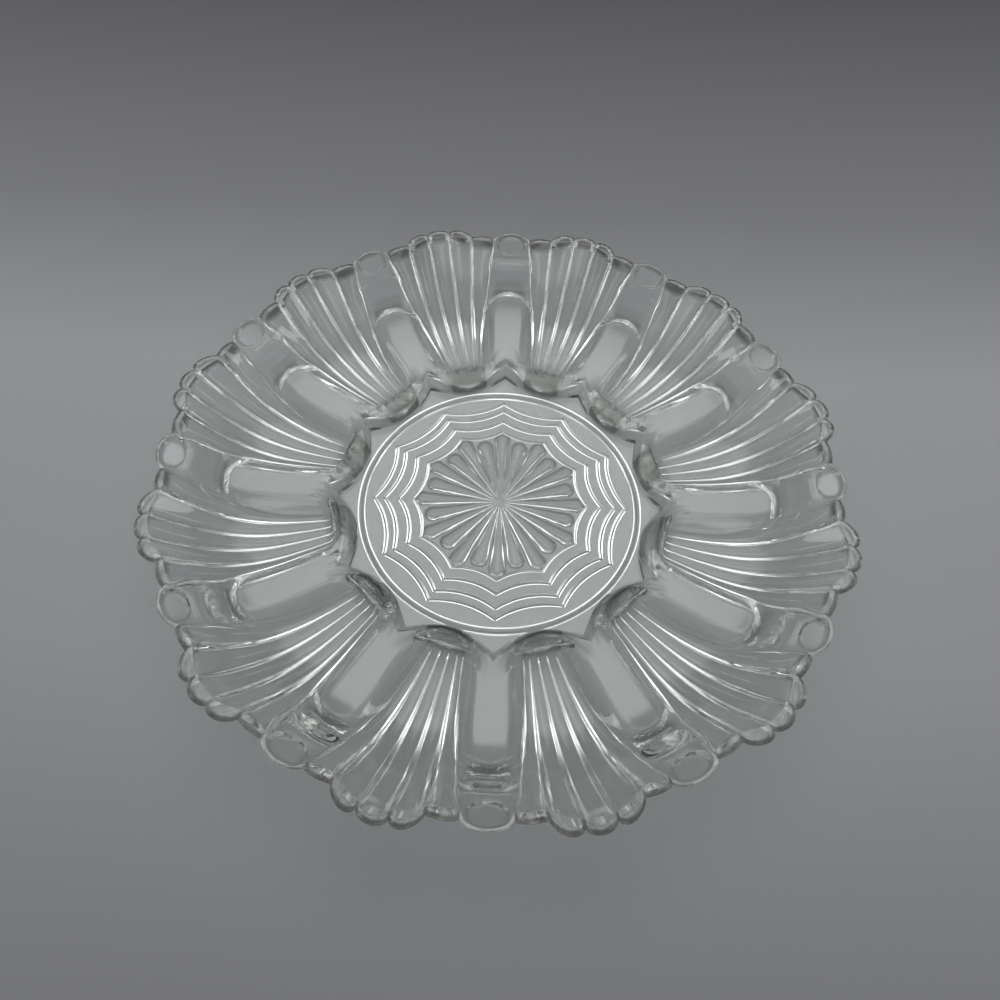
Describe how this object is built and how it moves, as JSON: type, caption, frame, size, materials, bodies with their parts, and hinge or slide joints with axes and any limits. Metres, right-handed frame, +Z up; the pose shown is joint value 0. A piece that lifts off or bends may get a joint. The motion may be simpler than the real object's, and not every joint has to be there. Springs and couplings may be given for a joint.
{
  "type": "deviled egg platter",
  "caption": "Round pressed glass platter with fluted egg wells around a webbed star centre and a scalloped rim.",
  "frame": {"origin": "centre of the foot ring at table level", "axes": "+Z up, +X through the middle of one rim tab, the platter's axis along Z"},
  "size_m": [0.2776, 0.2776, 0.0336],
  "materials": {
    "clear_glass": "fire polished pressed glass, clear with a faint grey-green tint"
  },
  "bodies": {
    "root": {"star_medallion": "clear_glass", "web_ring_inner": "clear_glass", "web_ring_middle": "clear_glass", "web_ring_outer": "clear_glass", "floor_border": "clear_glass", "foot_ring": "clear_glass", "well_01": "clear_glass", "well_02": "clear_glass", "well_03": "clear_glass", "well_04": "clear_glass", "well_05": "clear_glass", "well_06": "clear_glass", "well_07": "clear_glass", "well_08": "clear_glass", "well_09": "clear_glass", "well_10": "clear_glass", "well_11": "clear_glass", "well_12": "clear_glass", "ridge_01": "clear_glass", "ridge_02": "clear_glass", "ridge_03": "clear_glass", "ridge_04": "clear_glass", "ridge_05": "clear_glass", "ridge_06": "clear_glass", "ridge_07": "clear_glass", "ridge_08": "clear_glass", "ridge_09": "clear_glass", "ridge_10": "clear_glass", "ridge_11": "clear_glass", "ridge_12": "clear_glass", "tab_01": "clear_glass", "tab_02": "clear_glass", "tab_03": "clear_glass", "tab_04": "clear_glass", "tab_05": "clear_glass", "tab_06": "clear_glass", "tab_07": "clear_glass", "tab_08": "clear_glass", "tab_09": "clear_glass", "tab_10": "clear_glass", "tab_11": "clear_glass", "tab_12": "clear_glass"}
  },
  "joints": []
}
